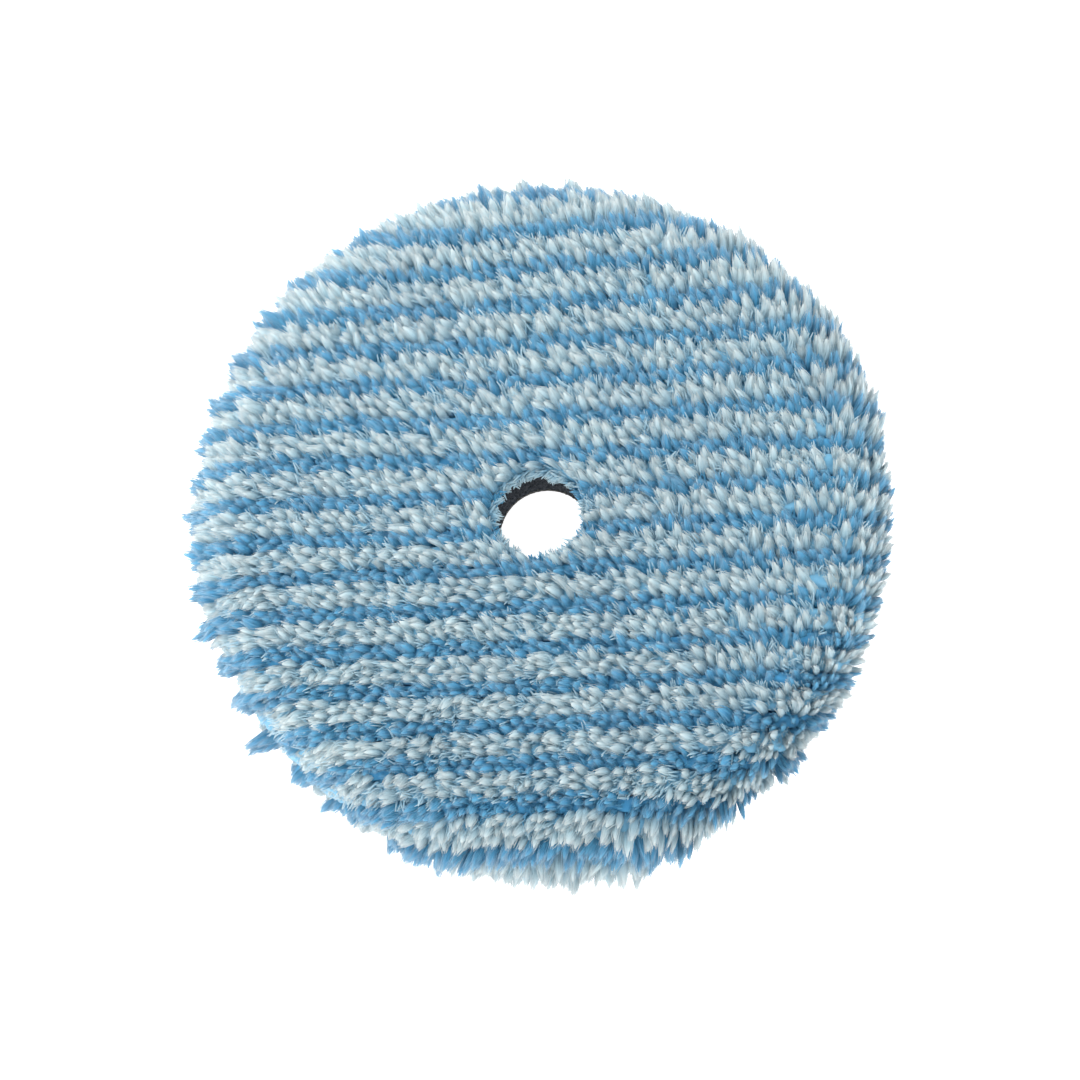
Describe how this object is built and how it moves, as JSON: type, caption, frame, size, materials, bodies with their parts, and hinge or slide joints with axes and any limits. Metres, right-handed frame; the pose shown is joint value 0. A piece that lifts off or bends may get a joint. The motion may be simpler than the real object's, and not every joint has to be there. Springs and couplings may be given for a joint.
{
  "type": "polishing pad",
  "caption": "Round microfibre polishing pad: striped twisted pile over a foam disc, loop fabric on the back, one hole through the centre.",
  "frame": {"origin": "centre of the back face of the loop fabric, on the axis of the centre hole", "axes": "+Z out through the pile face, +X along the stripes, +Y across the stripes"},
  "size_m": [0.15, 0.15, 0.024],
  "materials": {
    "white_pile": "matte",
    "blue_pile": "matte",
    "ground_cloth": "matte",
    "hot_melt_film": "satin",
    "foam": "matte",
    "loop_fabric": "matte"
  },
  "bodies": {
    "root": {"loop_nap": "loop_fabric", "loop_ground": "loop_fabric", "loop_adhesive": "hot_melt_film", "foam_core": "foam", "face_adhesive": "hot_melt_film", "ground_cloth": "ground_cloth", "white_row_01": "white_pile", "white_row_02": "white_pile", "white_row_03": "white_pile", "white_row_04": "white_pile", "white_row_05": "white_pile", "white_row_06": "white_pile", "white_row_07": "white_pile", "white_row_08": "white_pile", "white_row_09": "white_pile", "white_row_10": "white_pile", "white_row_11": "white_pile", "white_row_12": "white_pile", "white_row_13": "white_pile", "white_row_14": "white_pile", "white_row_15": "white_pile", "white_row_16": "white_pile", "white_row_17": "white_pile", "white_row_18": "white_pile", "white_row_19": "white_pile", "blue_row_01": "blue_pile", "blue_row_02": "blue_pile", "blue_row_03": "blue_pile", "blue_row_04": "blue_pile", "blue_row_05": "blue_pile", "blue_row_06": "blue_pile", "blue_row_07": "blue_pile", "blue_row_08": "blue_pile", "blue_row_09": "blue_pile", "blue_row_10": "blue_pile", "blue_row_11": "blue_pile", "blue_row_12": "blue_pile", "blue_row_13": "blue_pile", "blue_row_14": "blue_pile", "blue_row_15": "blue_pile", "blue_row_16": "blue_pile", "blue_row_17": "blue_pile", "blue_row_18": "blue_pile"}
  },
  "joints": []
}
